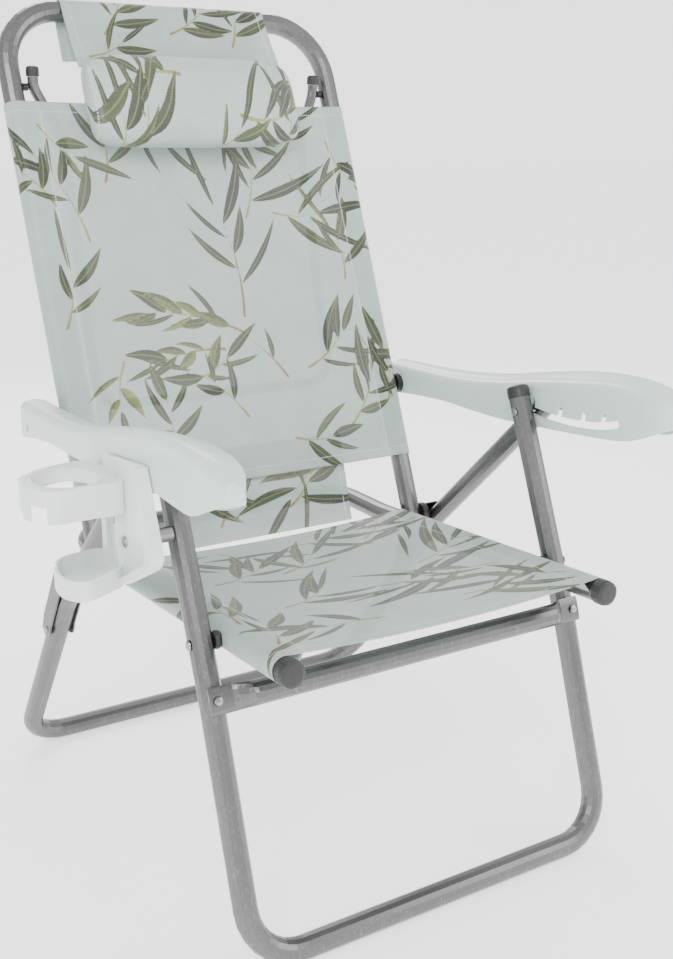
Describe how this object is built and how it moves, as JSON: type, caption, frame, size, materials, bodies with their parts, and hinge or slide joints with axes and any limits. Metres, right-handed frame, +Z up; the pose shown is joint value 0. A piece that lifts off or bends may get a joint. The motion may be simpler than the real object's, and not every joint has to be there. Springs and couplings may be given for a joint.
{
  "type": "beach chair",
  "caption": "High-back folding beach chair: tube frame, fabric seat and back, head pillow, notched armrests for recline, rear support leg and clip-on drink and phone holder.",
  "frame": {"origin": "on the floor under the middle of the front floor bar", "axes": "+Z up, the sitter faces -Y, +X is the sitter's left"},
  "size_m": [0.6587, 0.7009, 0.9666],
  "materials": {
    "tube_metal": "satin drawn tube",
    "bracket_metal": "pressed channel",
    "rivet_metal": "satin",
    "washer_steel": "dark zinc plate",
    "cap_plastic": "moulded",
    "black_bush": "moulded",
    "armrest_plastic": "pale mint moulded",
    "holder_plastic": "white moulded",
    "sling_fabric": "coated mesh with leaf print",
    "pillow_fabric": "coated mesh with leaf print"
  },
  "bodies": {
    "front_legs": {"front_leg_frame": "tube_metal", "front_crossbar": "tube_metal", "crossbar_rivet_left": "rivet_metal", "crossbar_rivet_right": "rivet_metal", "front_leg_cap_left": "cap_plastic", "front_leg_cap_right": "cap_plastic", "top_pin_left": "rivet_metal", "top_pin_right": "rivet_metal", "top_pin_head_left": "rivet_metal", "top_pin_head_right": "rivet_metal", "seat_pivot_spacer_left": "black_bush", "seat_pivot_spacer_right": "black_bush", "seat_pivot_head_left": "rivet_metal", "seat_pivot_head_right": "rivet_metal", "cup_holder": "holder_plastic", "holder_spacer_right": "rivet_metal", "holder_bolt_right": "rivet_metal"},
    "rear_legs": {"rear_leg_frame": "tube_metal", "rear_leg_cap_left": "cap_plastic", "rear_leg_cap_right": "cap_plastic"},
    "hinge_link_left": {"hinge_link_left": "bracket_metal", "link_rivet_left": "rivet_metal"},
    "hinge_link_right": {"hinge_link_right": "bracket_metal", "link_rivet_right": "rivet_metal"},
    "seat": {"seat_frame": "tube_metal", "seat_fabric": "sling_fabric", "seat_cap_left": "cap_plastic", "seat_cap_right": "cap_plastic", "seat_rear_rivet_left": "rivet_metal", "seat_rear_rivet_right": "rivet_metal"},
    "back_pivots": {"back_pivot_bush_left": "washer_steel", "back_pivot_bush_right": "washer_steel", "seat_riser": "sling_fabric"},
    "back": {"back_frame": "tube_metal", "back_fabric": "sling_fabric", "support_spacer_left": "black_bush", "support_spacer_right": "black_bush"},
    "support_leg": {"support_leg": "tube_metal", "support_cap_left": "cap_plastic", "support_cap_right": "cap_plastic"},
    "arm_pivot_left": {"arm_pivot_bush_left": "washer_steel"},
    "arm_pivot_right": {"arm_pivot_bush_right": "washer_steel"},
    "armrest_left": {"armrest_left": "armrest_plastic"},
    "armrest_right": {"armrest_right": "armrest_plastic"},
    "headrest": {"pillow": "pillow_fabric", "pillow_strap": "sling_fabric"}
  },
  "joints": [
    {"name": "fold", "type": "hinge", "parent": "front_legs", "child": "seat", "pos_m": [0, 0.1, 0.319], "axis": [-1, 0, 0], "range_deg": [0, 80]},
    {"name": "rear_leg_fold", "type": "hinge", "parent": "front_legs", "child": "rear_legs", "pos_m": [0, 0.165, 0.488], "axis": [-1, 0, 0], "range_deg": [0, 57.77]},
    {"name": "link_fold_left", "type": "hinge", "parent": "rear_legs", "child": "hinge_link_left", "pos_m": [0, 0.432, 0.2288], "axis": [-1, 0, 0], "range_deg": [0, 123.21]},
    {"name": "link_fold_right", "type": "hinge", "parent": "rear_legs", "child": "hinge_link_right", "pos_m": [0, 0.432, 0.2288], "axis": [-1, 0, 0], "range_deg": [0, 123.21]},
    {"name": "back_pivot_fold", "type": "hinge", "parent": "seat", "child": "back_pivots", "pos_m": [0, 0.377, 0.307], "axis": [-1, 0, 0], "range_deg": [-80, 0]},
    {"name": "recline", "type": "hinge", "parent": "back_pivots", "child": "back", "pos_m": [0, 0.377, 0.307], "axis": [-1, 0, 0], "range_deg": [0, 58]},
    {"name": "arm_pivot_fold_left", "type": "hinge", "parent": "back", "child": "arm_pivot_left", "pos_m": [0, 0.442, 0.476], "axis": [-1, 0, 0], "range_deg": [0, 80]},
    {"name": "arm_pivot_fold_right", "type": "hinge", "parent": "back", "child": "arm_pivot_right", "pos_m": [0, 0.442, 0.476], "axis": [-1, 0, 0], "range_deg": [0, 80]},
    {"name": "arm_recline_left", "type": "hinge", "parent": "arm_pivot_left", "child": "armrest_left", "pos_m": [0, 0.442, 0.476], "axis": [-1, 0, 0], "range_deg": [-40.14, 0]},
    {"name": "arm_recline_right", "type": "hinge", "parent": "arm_pivot_right", "child": "armrest_right", "pos_m": [0, 0.442, 0.476], "axis": [-1, 0, 0], "range_deg": [-40.14, 0]},
    {"name": "support_leg_fold", "type": "hinge", "parent": "back", "child": "support_leg", "pos_m": [0, 0.58983, 0.85942], "axis": [1, 0, 0], "range_deg": [0, 72]},
    {"name": "pillow_flip", "type": "hinge", "parent": "back", "child": "headrest", "pos_m": [0, 0.62506, 0.95087], "axis": [-1, 0, 0], "range_deg": [0, 120]}
  ],
  "couplings": [
    {"joint": "rear_leg_fold", "follows": "fold", "ratio": 0.722},
    {"joint": "link_fold_left", "follows": "fold", "ratio": 1.54},
    {"joint": "link_fold_right", "follows": "fold", "ratio": 1.54},
    {"joint": "back_pivot_fold", "follows": "fold", "ratio": -1},
    {"joint": "arm_pivot_fold_left", "follows": "fold", "ratio": 1},
    {"joint": "arm_pivot_fold_right", "follows": "fold", "ratio": 1},
    {"joint": "arm_recline_left", "follows": "recline", "ratio": -0.692},
    {"joint": "arm_recline_right", "follows": "recline", "ratio": -0.692}
  ]
}
